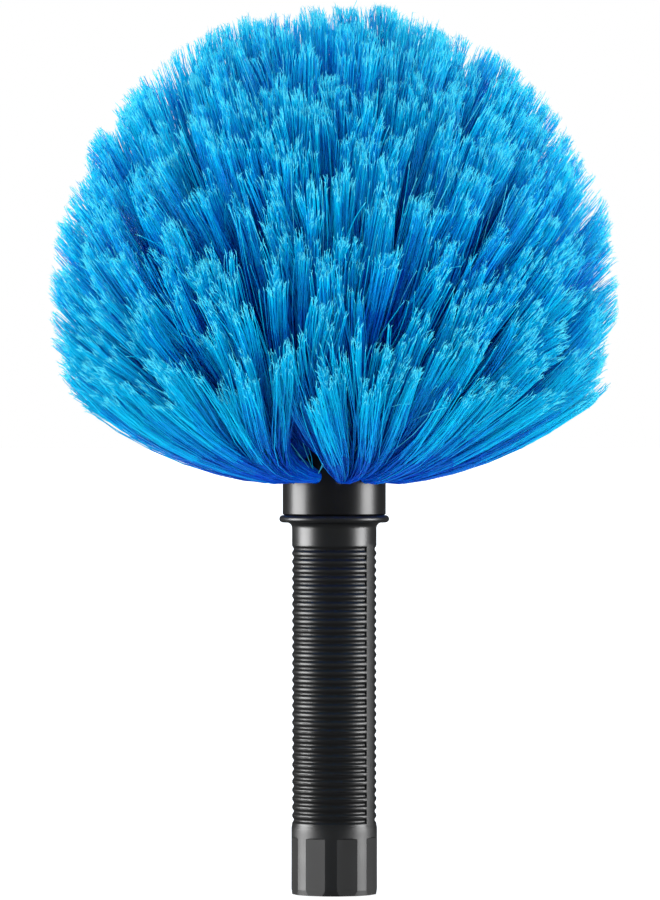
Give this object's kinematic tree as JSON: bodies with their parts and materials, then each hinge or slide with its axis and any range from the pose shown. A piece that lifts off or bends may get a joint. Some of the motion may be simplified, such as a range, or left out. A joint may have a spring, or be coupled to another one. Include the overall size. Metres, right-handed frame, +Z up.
{
  "type": "dome brush head",
  "caption": "Round soft dome brush with blue frayed bristle tufts on a black drilled block and a slim ribbed socket grip that screws onto a pole tip.",
  "frame": {"origin": "centre of the open lower end of the socket grip, where a pole tip enters", "axes": "+Z up the axis of the grip towards the bristles, front faces -Y, +X to the right seen from the front"},
  "size_m": [0.2, 0.2, 0.3152],
  "materials": {
    "grip_plastic": "satin",
    "block_plastic": "satin",
    "anchor_wire": "satin",
    "bristles": "satin"
  },
  "bodies": {
    "root": {"socket_handle": "grip_plastic", "brush_block": "block_plastic", "anchors_row1": "anchor_wire", "anchors_row2": "anchor_wire", "anchors_row3": "anchor_wire", "anchors_row4": "anchor_wire", "anchors_row5": "anchor_wire", "tuft_row1_01": "bristles", "tuft_row1_02": "bristles", "tuft_row1_03": "bristles", "tuft_row1_04": "bristles", "tuft_row1_05": "bristles", "tuft_row1_06": "bristles", "tuft_row1_07": "bristles", "tuft_row1_08": "bristles", "tuft_row1_09": "bristles", "tuft_row1_10": "bristles", "tuft_row1_11": "bristles", "tuft_row1_12": "bristles", "tuft_row2_01": "bristles", "tuft_row2_02": "bristles", "tuft_row2_03": "bristles", "tuft_row2_04": "bristles", "tuft_row2_05": "bristles", "tuft_row2_06": "bristles", "tuft_row2_07": "bristles", "tuft_row2_08": "bristles", "tuft_row2_09": "bristles", "tuft_row2_10": "bristles", "tuft_row2_11": "bristles", "tuft_row2_12": "bristles", "tuft_row3_01": "bristles", "tuft_row3_02": "bristles", "tuft_row3_03": "bristles", "tuft_row3_04": "bristles", "tuft_row3_05": "bristles", "tuft_row3_06": "bristles", "tuft_row3_07": "bristles", "tuft_row3_08": "bristles", "tuft_row3_09": "bristles", "tuft_row3_10": "bristles", "tuft_row3_11": "bristles", "tuft_row4_01": "bristles", "tuft_row4_02": "bristles", "tuft_row4_03": "bristles", "tuft_row4_04": "bristles", "tuft_row4_05": "bristles", "tuft_row4_06": "bristles", "tuft_row4_07": "bristles", "tuft_row4_08": "bristles", "tuft_row5_01": "bristles", "tuft_row5_02": "bristles", "tuft_row5_03": "bristles", "tuft_row5_04": "bristles"}
  },
  "joints": []
}
